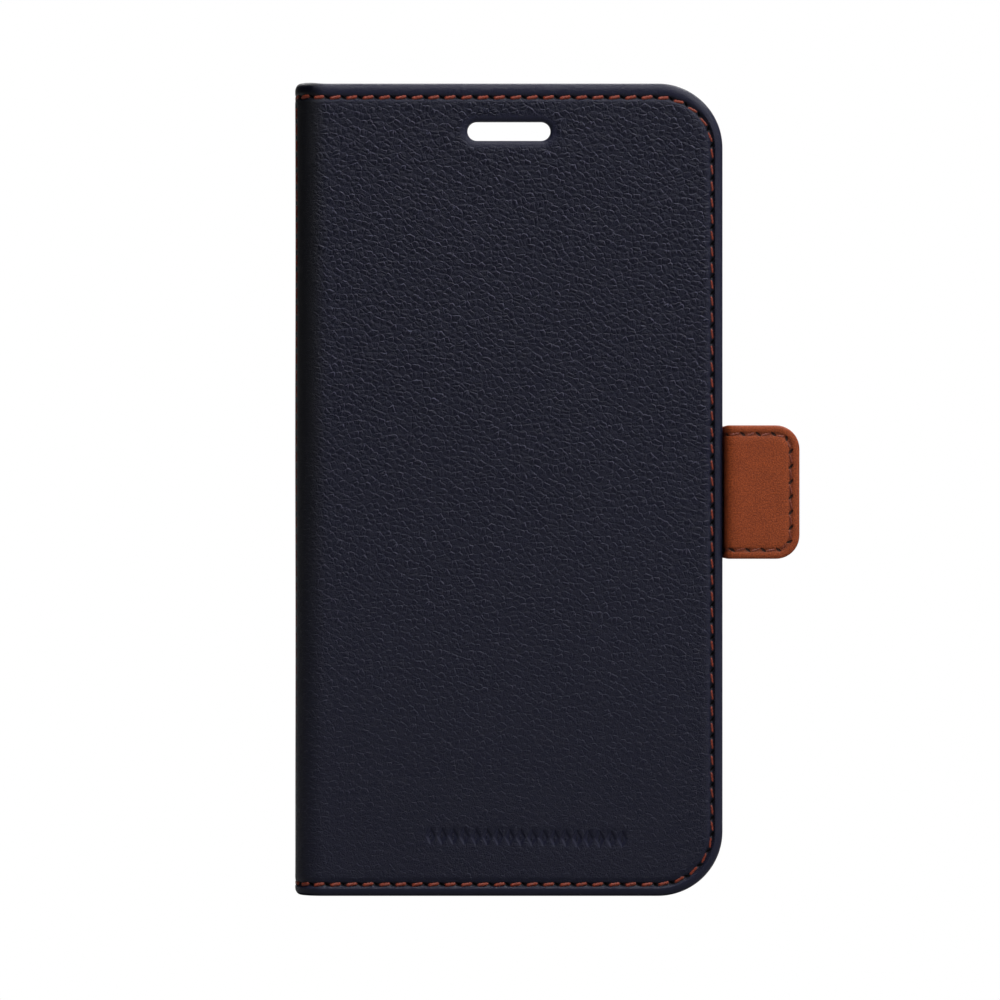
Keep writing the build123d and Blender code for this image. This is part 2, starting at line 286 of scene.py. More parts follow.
# ---- outlines
class FreeEdge:
    """A sheet's three free edges: out along the bottom, up the far side and back along the top."""

    def __init__(self, length, width, corner, insets, spacing):
        bottom, side, top = insets
        inner = corner - side
        self.straight = max(2, round((length - corner) / spacing))
        self.around = max(2, round(inner * math.pi / 4 / spacing))
        self.upright = max(2, round((width - 2 * corner) / spacing))
        out = np.linspace(0, length - corner, self.straight + 1)
        turn = np.linspace(-math.pi / 2, 0, 2 * self.around + 1)
        up = np.linspace(corner, width - corner, self.upright + 1)
        quarter = direction(turn)
        upper = quarter[::-1] * (1, -1)
        far = length - corner
        points = [np.stack([out, 0 * out], -1), (far, corner) + corner * quarter[1:]]
        points += [np.stack([0 * up + length, up], -1)[1:], (far, width - corner) + corner * upper[1:]]
        points += [np.stack([out[::-1], 0 * out + width], -1)[1:]]
        self.points = np.concatenate(points)
        inward = [np.tile((0.0, 1.0), (len(out), 1)), -quarter[1:], np.tile((-1.0, 0.0), (len(up) - 1, 1))]
        inward += [-upper[1:], np.tile((0.0, -1.0), (len(out) - 1, 1))]
        self.inward = np.concatenate(inward)
        share = np.linspace(0, 1, 2 * self.around + 1)[1:]
        inset = [np.full(len(out), bottom), bottom + (side - bottom) * smooth(0, 1, share)]
        inset += [np.full(len(up) - 1, side), side + (top - side) * smooth(0, 1, share)]
        inset += [np.full(len(out) - 1, top)]
        self.inset = np.concatenate(inset)
        self.columns = self.straight + self.around
        self.rows = self.upright + 2 * self.around

    def at(self, distance):
        """The outline, moved inwards."""
        return self.points + self.inward * np.asarray(distance, float).reshape(-1, 1)


def coons(edge, boundary):
    """Places of a grid that fills the outline given by boundary, from the sheet's open side."""
    columns, rows = edge.columns, edge.rows
    bottom = boundary[: columns + 1]
    right = boundary[columns : columns + rows + 1]
    top = boundary[columns + rows :][::-1]
    left = np.linspace(bottom[0], top[0], rows + 1)
    u = np.linspace(0, 1, columns + 1)[:, None, None]
    v = np.linspace(0, 1, rows + 1)[None, :, None]
    ruled = (1 - v) * bottom[:, None] + v * top[:, None] + (1 - u) * left[None] + u * right[None]
    corners = (1 - u) * ((1 - v) * bottom[0] + v * top[0]) + u * ((1 - v) * bottom[-1] + v * top[-1])
    return ruled - corners


def add_grid(shell, edge, ring, boundary, depth_at, blocks=()):
    """Fills the inside of a ring with a grid, leaving out the blocks, and returns its indices."""
    places = coons(edge, boundary)
    columns, rows = edge.columns, edge.rows
    index = np.empty((columns + 1, rows + 1), int)
    index[:, 0] = ring[: columns + 1]
    index[-1, :] = ring[columns : columns + rows + 1]
    index[:, -1] = ring[columns + rows :][::-1]
    inner = places[:-1, 1:-1]
    index[:-1, 1:-1] = shell.add(inner[..., 0], inner[..., 1], depth_at(inner[..., 0], inner[..., 1]))
    kept = np.ones((columns, rows), bool)
    for i0, i1, j0, j1 in blocks:
        kept[i0:i1, j0:j1] = False
    for i, j in zip(*np.nonzero(kept)):
        shell.face((index[i, j], index[i + 1, j], index[i + 1, j + 1], index[i, j + 1]))
    return index, places


def flat_level(depth):
    """A face at the same depth all over."""
    return lambda s, z: depth + 0 * np.asarray(s, float)


def block_round(places, centre, width, tall):
    """Grid block about a place: the first and last column and row, with even counts."""
    s_line = places[:, places.shape[1] // 2, 0]
    column = int(np.argmin(abs(s_line - centre[0])))
    row = int(np.argmin(abs(places[column, :, 1] - centre[1])))
    step_s = places[column + 1, row, 0] - places[column, row, 0]
    step_z = places[column, row + 1, 1] - places[column, row, 1]
    half_columns = max(1, round(width / 2 / step_s))
    half_rows = max(1, round(tall / 2 / step_z))
    highest = min(row + half_rows, places.shape[1] - 1)
    return column - half_columns, column + half_columns, 2 * row - highest, highest


def block_loop(block):
    """Grid places round a block, from the middle of its lower side, anticlockwise."""
    i0, i1, j0, j1 = block
    middle = (i0 + i1) // 2
    loop = [(i, j0) for i in range(middle, i1)] + [(i1, j) for j in range(j0, j1)]
    loop += [(i, j1) for i in range(i1, i0, -1)] + [(i0, j) for j in range(j1, j0, -1)]
    return loop + [(i, j0) for i in range(i0, middle)]


def even_points(dense, count):
    """Evenly spaced points on a closed outline, and the directions that point away from it."""
    closed = np.vstack([dense, dense[:1]])
    run = np.concatenate([[0], np.cumsum(np.linalg.norm(np.diff(closed, axis=0), axis=1))])
    at = np.linspace(0, run[-1], count, endpoint=False)

    def on(distance):
        wrapped = np.mod(distance, run[-1])
        return np.stack([np.interp(wrapped, run, closed[:, k]) for k in (0, 1)], -1)

    reach = run[-1] / count / 4
    along = on(at + reach) - on(at - reach)
    away = np.stack([along[:, 1], -along[:, 0]], -1)
    return on(at), away / np.linalg.norm(away, axis=1, keepdims=True)


def rounded_outline(centre, width, tall, *radii):
    """Dense rounded rectangle from the middle of its lower side, anticlockwise. Radii are one for all
    corners, or four from the lower far corner on."""
    half_w, half_h = width / 2, tall / 2
    points = [(0, -half_h)]
    quarters = ((1, -1, -90), (1, 1, 0), (-1, 1, 90), (-1, -1, 180))
    for (sign_x, sign_z, first), corner in zip(quarters, radii * (4 // len(radii))):
        middle = np.array((sign_x * (half_w - corner), sign_z * (half_h - corner)))
        for angle in np.radians(np.linspace(first, first + 90, 24)):
            points.append(middle + corner * direction(angle))
    return np.array(points) + centre


def lozenge_outline(centre, width, tall):
    """Dense lozenge, from its lowest point, anticlockwise."""
    painted_crest_highlight = np.array([(0, -tall / 2), (width / 2, 0), (0, tall / 2), (-width / 2, 0)])
    shares = np.linspace(0, 1, 12)[:-1, None]
    sides = [painted_crest_highlight[k] + (painted_crest_highlight[(k + 1) % 4] - painted_crest_highlight[k]) * shares for k in range(4)]
    return np.concatenate(sides) + centre


def add_inset(shell, index, places, block, dense, steps, profile, depth_at, fill=False, wall=0):
    """Grid block replaced by rings round an outline. Profile is (distance outside it, depth) pairs."""
    loop = block_loop(block)
    outer = np.array([places[i, j] for i, j in loop])
    previous = np.array([index[i, j] for i, j in loop])
    points, away = even_points(dense, len(loop))
    first = points + away * profile[0][0]
    for share in np.arange(1, steps) / steps:
        ring = outer * (1 - share) + first * share
        row = shell.add(*ring.T, depth_at(*ring.T))
        shell.strip(previous, row, closed=True)
        previous = row
    travelled = 0.0
    last = profile[0]
    for number, (distance, depth) in enumerate(profile):
        travelled += math.hypot(distance - last[0], depth - last[1])
        ring = points + away * distance
        texture = points + away * (profile[0][0] - travelled)
        down = depth + depth_at(*ring.T)
        row = shell.add(*ring.T, down, texture, grain=0.15 if number else 0.6)
        shell.strip(previous, row, closed=True, material=wall if depth > leather else 0)
        previous = row
        last = (distance, depth)
    if fill:
        centre = points.mean(0)
        tip = shell.add([centre[0]], [centre[1]], [last[1] + depth_at(centre[0], centre[1])])[0]
        for k in range(len(previous)):
            shell.face((previous[k], previous[(k + 1) % len(previous)], tip))
    return previous


def close_inside(shell, edge, first_ring, rings, index, holes):
    """Closes a skin on its inner side: strips across the curve, a flat cap, and the end at the spine."""
    bottom = edge.points[: edge.straight + 1, 0]
    turn = int(np.searchsorted(bottom, flat_start + 0.01))
    last = len(first_ring) - 1
    for k in range(turn):
        shell.face((first_ring[k], first_ring[k + 1], first_ring[last - k - 1], first_ring[last - k]))
    shell.fill([list(first_ring[turn : last - turn + 1])] + [list(h) for h in holes], (0, 1))
    rim = [ring[0] for ring in rings] + list(index[0, 1:-1]) + [ring[-1] for ring in rings[::-1]]
    shell.fill([rim], (1, 2))


# ---- ring profiles
def half_round(radius, count):
    """Edge turned over from a sheet's far face to its near face, as (distance, depth) pairs."""
    angles = np.linspace(math.pi / 2, -math.pi / 2, count)
    return [(radius * (1 - math.cos(a)), radius * (1 + math.sin(a))) for a in angles]


def add_rings(shell, edge, profile, holes, middle, material_of=lambda k: 0, turn=1, grain_of=None):
    """Rings that follow a sheet's free edges. A profile row is (distance, share of the seam's own
    inset, depth, share of the hole's depth)."""
    rings = []
    travelled = 0.0
    last = profile[-1]
    lengths = [0.0]
    for row in profile[::-1][1:]:
        lengths.append(lengths[-1] + math.hypot(row[0] - last[0], row[2] - last[2]))
        last = row
    lengths = lengths[::-1]
    stitch = turn * np.arange(len(edge.points)) / nodes_per_stitch
    for number, (distance, share, depth, hole) in enumerate(profile):
        at = distance + share * (edge.inset - middle)
        seam = np.stack([stitch, at - edge.inset], -1)
        grain = 1.0 if grain_of is None else grain_of(at - edge.inset)
        ring = edge.at(at)
        texture = edge.at(profile[-1][0] - lengths[number])
        down = depth + hole * holes
        rings.append(shell.add(*ring.T, down, texture, seam, grain))
        if number:
            shell.strip(rings[-2], rings[-1], material=material_of(number))
    return rings


hole_depth = 0.55
channel = [(-0.62, 0.04, 0), (-0.42, 0.15, 0.1), (-0.2, 0.27, 0.6), (0, 0.31, 1), (0.2, 0.27, 0.6)]
channel += [(0.42, 0.15, 0.1), (0.62, 0.04, 0)]


def hole_row(edge):
    """Depth of the needle holes at each point of the seam."""
    return np.where(np.arange(len(edge.points)) % nodes_per_stitch == 0, hole_depth, 0.0)


# ---- covers
def cover_relief(side):
    """Depth of a cover's face: a faint unevenness, and the channel of the spine's upright seam."""

    def depth_at(s, z):
        s, z = np.asarray(s, float), np.asarray(z, float)
        calm = smooth(face_inset, face_inset + 6, z) * smooth(face_inset, face_inset + 6, height - z)
        calm = calm * smooth(face_inset, face_inset + 6, cover_length - s)
        uneven = np.sin(s / 9.1 + 0.7 * side) * np.sin(z / 13.3 + 1.1) + 0.6 * np.sin(s / 17 - z / 11)
        depth = 0.03 * calm * (uneven + 1.2)
        if side == FRONT:
            inside = (spine_seam_margin - 0.5, spine_seam_margin + 0.4)
            within = smooth(*inside, z) * smooth(*inside, height - z)
            depth = depth + 0.2 * within * np.exp(-(((s - spine_line(z)) / 0.5) ** 2))
        return depth

    return depth_at


def spine_line(z):
    """Where the spine's upright seam runs: a little further round towards its lower end."""
    return spine_seam - spine_drift * smooth(0.15, 1, 1 - np.asarray(z, float) / height)


def calm_edge(past_seam):
    """Share of the grain that shows: the border outside the seam is pressed smooth."""
    return 0.12 + 0.88 * smooth(0.2, 1.4, past_seam)


def cover_profile(middle):
    rows = [(edge_radius, 0, leather, 0), (edge_radius, 0, cover - 0.35, 0)]
    for distance, depth in half_round(edge_radius, 17):
        roll = 1 if depth > leather else edge_roll / edge_radius
        rows.append((distance * roll, 0, depth, 0))
    rows += [(1.72, 0.4, 0.0, 0)]
    rows += [(middle + d, 1, h, share) for d, h, share in channel]
    return rows + [(face_inset, 0, 0, 0)]


def make_cover_skin(side, name, materials):
    """Outer leather of one cover with its half of the spine."""
    shell = Shell()
    insets = (seam_bottom, seam_side, seam_top)
    edge = FreeEdge(cover_length, height, cover_corner, insets, stitch_pitch / nodes_per_stitch)
    middle = sum(insets) / 3
    holes = hole_row(edge)
    rings = add_rings(shell, edge, cover_profile(middle), holes, middle, turn=-side, grain_of=calm_edge)
    depth_at = cover_relief(side)
    boundary = edge.at(face_inset)
    places = coons(edge, boundary)
    opening = openings[side]
    hole = (arc_length(x_phone), height - opening.drop)
    blocks = [block_round(places, hole, opening.width + opening.room[0], opening.tall + opening.room[1])]
    dense = opening_outline(opening, hole, 0)
    marks = lozenge_blocks(places) if side == FRONT else []
    blocks += [block for block, place in marks]
    profile = opening.lip + [(0, leather), (0, cover - 0.4), (0.05, cover - 0.05)]
    index, places = add_grid(shell, edge, rings[-1], boundary, depth_at, blocks)
    wall = add_inset(shell, index, places, blocks[0], dense, 3, profile, depth_at, wall=1)
    for block, place in marks:
        pressed = [(0.16, 0), (0.08, 0.03), (0.0, 0.1), (-0.08, 0.17), (-0.2, 0.2), (-0.4, 0.21)]
        dense = lozenge_outline(place, lozenge_width, lozenge_height)
        add_inset(shell, index, places, block, dense, 1, pressed, depth_at, fill=True)
    points, away = even_points(opening_outline(opening, hole, 1), len(wall))
    inner = shell.add(*points.T, leather)
    shell.strip(wall, inner, closed=True, material=1)
    close_inside(shell, edge, rings[0], rings, index, [inner])
    piece = make_piece(name, shell, wrap_cover(side), materials)
    return piece, edge


def opening_outline(opening, centre, layer):
    """Outline of an opening in the outer leather (0), the cover's inner face (1) or the lining (2)."""
    growth = (0, inner_growth, lining_growth)[layer]
    size = (opening.width + growth, opening.tall + growth)
    return rounded_outline(centre, *size, opening.corners[layer])


lozenge_width, lozenge_height = 1.7, 3.2
lozenge_count = 18


def lozenge_blocks(places):
    """Row of pressed lozenges near the lower edge, each in its own block of the face's grid."""
    middle = arc_length(x_phone + 3.3)
    column = int(np.argmin(abs(places[:, 20, 0] - middle))) - lozenge_count * 2
    row = int(np.argmin(abs(places[column, :, 1] - 11.9)))
    found = []
    for k in range(lozenge_count):
        block = (column + 4 * k, column + 4 * k + 4, row - 4, row + 4)
        found.append((block, places[column + 4 * k + 2, row]))
    return found


# ---- stitches
def add_stitch(shell, start, end, slant, base, sign, width, tall, dive, jitter=0.0):
    """One twisted stitch from hole to hole. Base is its depth and sign is 1 where depth goes inwards."""
    sides, lengths, lobes, twist = 12, 13, 3, 1.5
    along = np.asarray(end, float) - np.asarray(start, float)
    length = np.linalg.norm(along)
    along = along / length
    across = np.array((-along[1], along[0]))
    tilt = math.tan(math.radians(slant + jitter * random.uniform(-1, 1)))
    phase = random.uniform(0, 2 * math.pi)
    shift = 0.08 * jitter / 10 * random.uniform(-1, 1)
    theta = np.linspace(0, 2 * math.pi, sides, endpoint=False)
    previous = None
    for t in np.linspace(0.07, 0.93, lengths):
        run = (t - 0.5) * length
        centre = np.asarray(start) + along * t * length + across * (run * tilt + shift)
        from_end = min(t, 1 - t) * length
        sink = dive * (1 - smooth(0.28, 0.8, from_end))
        lobe = 1 + 0.17 * np.cos(lobes * (theta - 2 * math.pi * twist * t) + phase)
        end_taper = 0.55 + 0.45 * smooth(0.15, 0.6, from_end)
        ring = centre + across * (width * end_taper * lobe * np.cos(theta))[:, None]
        depth = base + sign * sink + sign * tall * lobe * np.sin(theta)
        texture = np.stack([np.full(sides, t * length), theta * width], -1)
        row = shell.add(*ring.T, depth, texture)
        if previous is not None:
            shell.strip(previous, row, closed=True)
        else:
            shell.face(row)
        previous = row
    shell.face(previous)


def edge_stitches(shell, edge, slant, base):
    """Stitches all along a sheet's free edges."""
    seam = edge.at(edge.inset)
    for k in range(0, len(seam) - nodes_per_stitch, nodes_per_stitch):
        start, end = seam[k], seam[k + nodes_per_stitch]
        upright = abs(end[1] - start[1]) / np.linalg.norm(end - start)
        level = base + 0.2 * upright
        add_stitch(shell, start, end, slant, level, 1, 0.34 - 0.07 * upright, 0.25, 0.5, 2.0)


def make_cover_thread(side, edge, name, material):
    """Outer seam of one cover, with the spine's upright seam on the front one."""
    shell = Shell()
    edge_stitches(shell, edge, -10 * side, 0.25)
    if side == FRONT:
        low, high = spine_seam_margin, height - spine_seam_margin
        count = round((high - low) / stitch_pitch)
        ends = np.linspace(low, high, count + 1)
        for z0, z1 in zip(ends[:-1], ends[1:]):
            level = 0.16 + 0.22 * (1 - z0 / height)
            add_stitch(shell, (spine_line(z0), z0), (spine_line(z1), z1), -6, level, 1, 0.31, 0.24, 0.3, 2.0)
    return make_piece(name, shell, wrap_cover(side), [material])


def pocket_depth(x, z):
    """Depth of the inner face of the front cover: lining, and each pocket that lies there."""
    layers = [(note_low, note_high), *pocket_boxes]
    depth = cover
    for low, high in layers:
        if low[0] <= x <= high[0] and low[2] <= z <= high[2]:
            depth = -y_front + high[1]
    return depth


def make_inner_thread(side, edge, name, material):
    """The same seam where it comes out inside the cover."""
    shell = Shell()

    def level(s, z):
        x = s - flat_start + x_flat
        return (pocket_depth(x, z) if side == FRONT else cover) - 0.05

    seam = edge.at(edge.inset)
    for k in range(0, len(seam) - nodes_per_stitch, nodes_per_stitch):
        middle = seam[k + nodes_per_stitch // 2]
        if middle[0] > flat_start + 1:
            ends = (seam[k], seam[k + nodes_per_stitch])
            add_stitch(shell, *ends, 8, level(*middle), -1, 0.31, 0.2, 0.4, 3.0)
    return make_piece(name, shell, wrap_cover(side), [material])


# ---- linings
def make_lining(side, name, materials):
    """Lining of one cover with its half of the spine."""
    inset = lining_inset
    edge = FreeEdge(cover_length - inset, height - 2 * inset, cover_corner - inset, (1.5, 1.5, 1.5), 1.3)
    shell = Shell()
    section = [(0, -0.46), (0, -0.2), (0.05, -0.08), (0.16, -0.02), (0.4, 0), (1.2, 0), (2.4, 0), (4.0, 0)]
    rings = add_rings(shell, edge, [(distance, 0, depth, 0) for distance, depth in section], 0.0, 1.5)
    boundary = edge.at(section[-1][0])
    places = coons(edge, boundary)

    opening = openings[side]
    hole = (arc_length(x_phone), height - inset - opening.drop)
    room_s, room_z = opening.lining_room
    block = block_round(places, hole, opening.width + room_s, opening.tall + room_z)
    dense = opening_outline(opening, hole, 2)
    level = flat_level(0)
    index, places = add_grid(shell, edge, rings[-1], boundary, level, [block])
    lip = [(0.9, 0), (0.35, 0), (0.12, -0.03), (0, -0.14), (0, -0.46)]
    wall = add_inset(shell, index, places, block, dense, 2, lip, level)
    close_inside(shell, edge, rings[0], rings, index, [wall])
    place = wrap_lining(side)

    def wrap(s, z, depth):
        return place(s, z + inset, depth + cover)

    return make_piece(name, shell, wrap, materials)


# ---- pockets
def make_pocket(name, low, high, corner_low, materials):
    """One pocket leather: a sheet with rounded edges and a pressed line inside its mouth.

    Its lower far corner follows the cover, and the others are nearly square.
    """
    shell = Shell()
    near, far = -y_front + low[1], -y_front + high[1]
    width, tall = high[0] - low[0], high[2] - low[2]
    centre = (arc_length((low[0] + high[0]) / 2), (low[2] + high[2]) / 2)
    dense = rounded_outline(centre, width, tall, corner_low, 1.0, 1.6, 1.6)
    count = int(round((width + tall) * 2 / 1.6))
    points, away = even_points(dense, count)
    profile = [(-0.08, near), (0, near + 0.1), (0, far - 0.2), (-0.06, far - 0.06), (-0.2, far)]
    profile += [(-1.1, far), (-1.25, far - 0.07), (-1.45, far - 0.07), (-1.6, far)]
    rows = []
    for distance, depth in profile:
        ring = points + away * distance
        rows.append(shell.add(*ring.T, depth))
        if len(rows) > 1:
            shell.strip(rows[-2], rows[-1], closed=True, material=1 if len(rows) in (3, 4) else 0)
    shell.fill([list(rows[0])], (0, 1))
    shell.fill([list(rows[-1])], (0, 1))
    return make_piece(name, shell, wrap_cover(FRONT), materials)


# ---- strap
strap_thickness = tab_back_high[1] - tab_low[1]
strap_seam = 1.72
strap_pitch = 3.0
y_side_middle = (y_root + y_tab) / 2
tab_bend = 0.66
tab_blend = 1.8  # how far each way from the tab's fold the places handed to bend lie
strap_corner = 4.6
strap_lap = 0.04
root_reach = 8.0
root_bend = x_strap - x_edge


def strap_profile():
    """Rings from one face of the strap, round its painted edge, to the other face. Depth is 0 to 2."""
    pressed = 0.5 * 2 / strap_thickness
    half = [(0, 0, 0.9, 0), (0.04, 0, 0.5, 0), (0.15, 0, 0.2, 0), (0.35, 0, 0.07, 0), (0.7, 0, 0.01, 0)]
    half += [(strap_seam + d, 0, h * pressed, share * 0.4) for d, h, share in channel]
    half += [(3.2, 0, 0, 0), (4.4, 0, 0, 0)]
    far_half = [(distance, 0, 2 - depth, -hole) for distance, _, depth, hole in half[::-1]]
    return far_half + [(0.05, 0, 1.0, 0)] + half


def make_strap(name, length, wrap):
    """Strap piece that is closed all round, with its seam pressed into both faces."""
    edge = FreeEdge(length, strap_width, strap_corner, (strap_seam,) * 3, strap_pitch / nodes_per_stitch)
    shell = Shell()
    profile = strap_profile()
    holes = hole_row(edge)

    def edge_material(number):
        return 1 if profile[number][0] < 0.3 else 0

    rings = add_rings(shell, edge, profile, holes, strap_seam, edge_material)
    inset = profile[0][0]
    near = add_grid(shell, edge, rings[-1], edge.at(inset), flat_level(0))[0]
    far = add_grid(shell, edge, rings[0], edge.at(inset), flat_level(2))[0]
    rim = [ring[0] for ring in rings] + list(near[0, 1:-1]) + [ring[-1] for ring in rings[::-1]]
    shell.fill([rim + list(far[0, 1:-1][::-1])], (1, 2), cut=True)
    return make_piece(name, shell, wrap, [tan, tan_edge]), edge


def make_strap_thread(name, edge, wrap, limit=math.inf):
    """The strap's seam on both of its faces, as far along as the limit."""
    shell = Shell()
    scale = 2 / strap_thickness
    seam = edge.at(edge.inset)
    for k in range(0, len(seam) - nodes_per_stitch, nodes_per_stitch):
        ends = (seam[k], seam[k + nodes_per_stitch])
        if max(ends[0][0], ends[1][0]) > limit:
            continue
        for level, sign in ((0.26 * scale, 1), (2 - 0.26 * scale, -1)):
            add_stitch(shell, *ends, 14 * sign, level, sign, 0.27, 0.2 * scale, 0.4 * scale, 9.0)
    return make_piece(name, shell, wrap, [brown_thread])


# ---- materials
slit_slant = 38
pebble_scale = 0.8
scale_rise = math.radians(66)
grain_turn = math.radians(38)
slit_length = 0.6
slit_width = 0.23


def srgb(red, green, blue):
    """Linear colour from display values of 0 to 255."""
    values = [v / 255 for v in (red, green, blue)]
    return (*[v / 12.92 if v <= 0.04045 else ((v + 0.055) / 1.055) ** 2.4 for v in values], 1)


class Surface:
    """A material with a Principled shader, and short ways to add the nodes that drive it."""

    def __init__(self, name, roughness, **sockets):
        self.material = bpy.data.materials.new(name)
        self.material.use_nodes = True
        self.tree = self.material.node_tree
        self.shader = self.tree.nodes["Principled BSDF"]
        self.shader.inputs["Roughness"].default_value = roughness
        for socket, value in sockets.items():
            self.shader.inputs[socket.replace("_", " ")].default_value = value
        self.bump = None

    def node(self, kind, settings=None, **inputs):
        made = self.tree.nodes.new("ShaderNode" + kind)
        for key, value in (settings or {}).items():
            setattr(made, key, value)
        for key, value in inputs.items():
            self.feed(made.inputs[key.replace("_", " ")], value)
        return made

    def feed(self, socket, value):
        if isinstance(value, bpy.types.NodeSocket):
            self.tree.links.new(value, socket)
        else:
            socket.default_value = value

    def place(self, layer="sheet"):
        return self.node("UVMap", {"uv_map": layer}).outputs["UV"]

    def solid_place(self):
        """Object coordinates in millimetres, for pieces with no sheet."""
        node = self.vector_maths("SCALE", self.node("TexCoord").outputs["Object"])
        self.feed(node.inputs["Scale"], 1 / MM)
        return node.outputs[0]

    def vector_maths(self, operation, *values):
        node = self.node("VectorMath", {"operation": operation})
        for socket, value in zip(node.inputs, values):
            self.feed(socket, value)
        return node

    def turned(self, vector, angle):
        settings = {"rotation_type": "Z_AXIS"}
        node = self.node("VectorRotate", settings, Angle=angle, Vector=vector)
        return node.outputs[0]

    def stretched(self, vector, factors):
        return self.vector_maths("MULTIPLY", vector, factors).outputs[0]

    def noise(self, vector, scale, detail=2.0, rough=0.5, colour=False):
        node = self.node("TexNoise", Scale=scale, Detail=detail, Roughness=rough, Vector=vector)
        return node.outputs["Color" if colour else "Fac"]

    def cells(self, vector, scale, feature):
        settings = {"feature": feature, "voronoi_dimensions": "2D"}
        return self.node("TexVoronoi", settings, Scale=scale, Vector=vector)

    def scale_lift(self, vector, scale):
        """Rises across each cell from its lower left to its upper right, like a scale."""
        offset = self.vector_maths("SUBTRACT", vector, self.cells(vector, scale, "F1").outputs["Position"])
        upwards = (*direction(scale_rise + grain_turn), 0.0)
        rise = self.vector_maths("DOT_PRODUCT", offset.outputs[0], upwards)
        return self.ranged(rise.outputs["Value"], -0.7, 0.7, 0.05, 1.0, False)

    def warped(self, vector, scale, amount):
        """The vector, pushed about by a noise of that scale."""
        push = self.noise(vector, scale, colour=True)
        return self.vector_maths("MULTIPLY_ADD", push, (amount, amount, amount), vector).outputs[0]

    def maths(self, operation, first, second=0.0, third=0.0):
        node = self.node("Math", {"operation": operation})
        for socket, value in zip(node.inputs, (first, second, third)):
            self.feed(socket, value)
        return node.outputs[0]

    def product(self, first, *others):
        for other in others:
            first = self.maths("MULTIPLY", first, other)
        return first

    def ranged(self, value, low, high, to_low=0.0, to_high=1.0, smoothly=True):
        settings = {"interpolation_type": "SMOOTHSTEP" if smoothly else "LINEAR"}
        node = self.node("MapRange", settings, Value=value)
        for key, number in zip(("From Min", "From Max", "To Min", "To Max"), (low, high, to_low, to_high)):
            node.inputs[key].default_value = number
        return node.outputs["Result"]

    def mixed(self, share, first, second):
        node = self.node("Mix", {"data_type": "RGBA"})
        self.feed(node.inputs["Factor"], share)
        self.feed(node.inputs[6], first)
        self.feed(node.inputs[7], second)
        return node.outputs[2]

    def awl_slits(self, pitch):
        """Slanting slits where the thread goes through, from the seam's own coordinates."""
        stitch, across, depth = self.node("SeparateXYZ", Vector=self.place("seam")).outputs
        nearest = self.maths("SUBTRACT", self.maths("FRACT", self.maths("ADD", stitch, 0.5)), 0.5)
        along = self.product(nearest, pitch)
        slant = math.radians(slit_slant)
        length = self.rotated(along, across, -math.cos(slant) / slit_length, math.sin(slant) / slit_length)
        width = self.rotated(along, across, math.sin(slant) / slit_width, math.cos(slant) / slit_width)
        squares = [self.maths("POWER", value, 2.0) for value in (length, width)]
        reach = self.maths("SQRT", self.maths("ADD", *squares))
        return self.ranged(reach, 0.75, 1.3, 1.0, 0.0)

    def rotated(self, first, second, share_first, share_second):
        return self.maths("MULTIPLY_ADD", first, share_first, self.product(second, share_second))

    def groove(self):
        """Shade in the pressed line that the seam lies in."""
        across = self.node("SeparateXYZ", Vector=self.place("seam")).outputs["Y"]
        return self.ranged(self.maths("ABSOLUTE", across), 0.15, 0.62, 1.0, 0.0)

    def raise_by(self, value, distance):
        """Adds a bump of that height in millimetres."""
        node = self.node("Bump", Strength=1.0, Distance=distance * MM, Height=value)
        if self.bump is not None:
            self.feed(node.inputs["Normal"], self.bump)
        self.bump = node.outputs["Normal"]
        self.feed(self.shader.inputs["Normal"], self.bump)

    def paint(self, colour, roughness=None):
        self.feed(self.shader.inputs["Base Color"], colour)
        if roughness is not None:
            self.feed(self.shader.inputs["Roughness"], roughness)
        return self.material


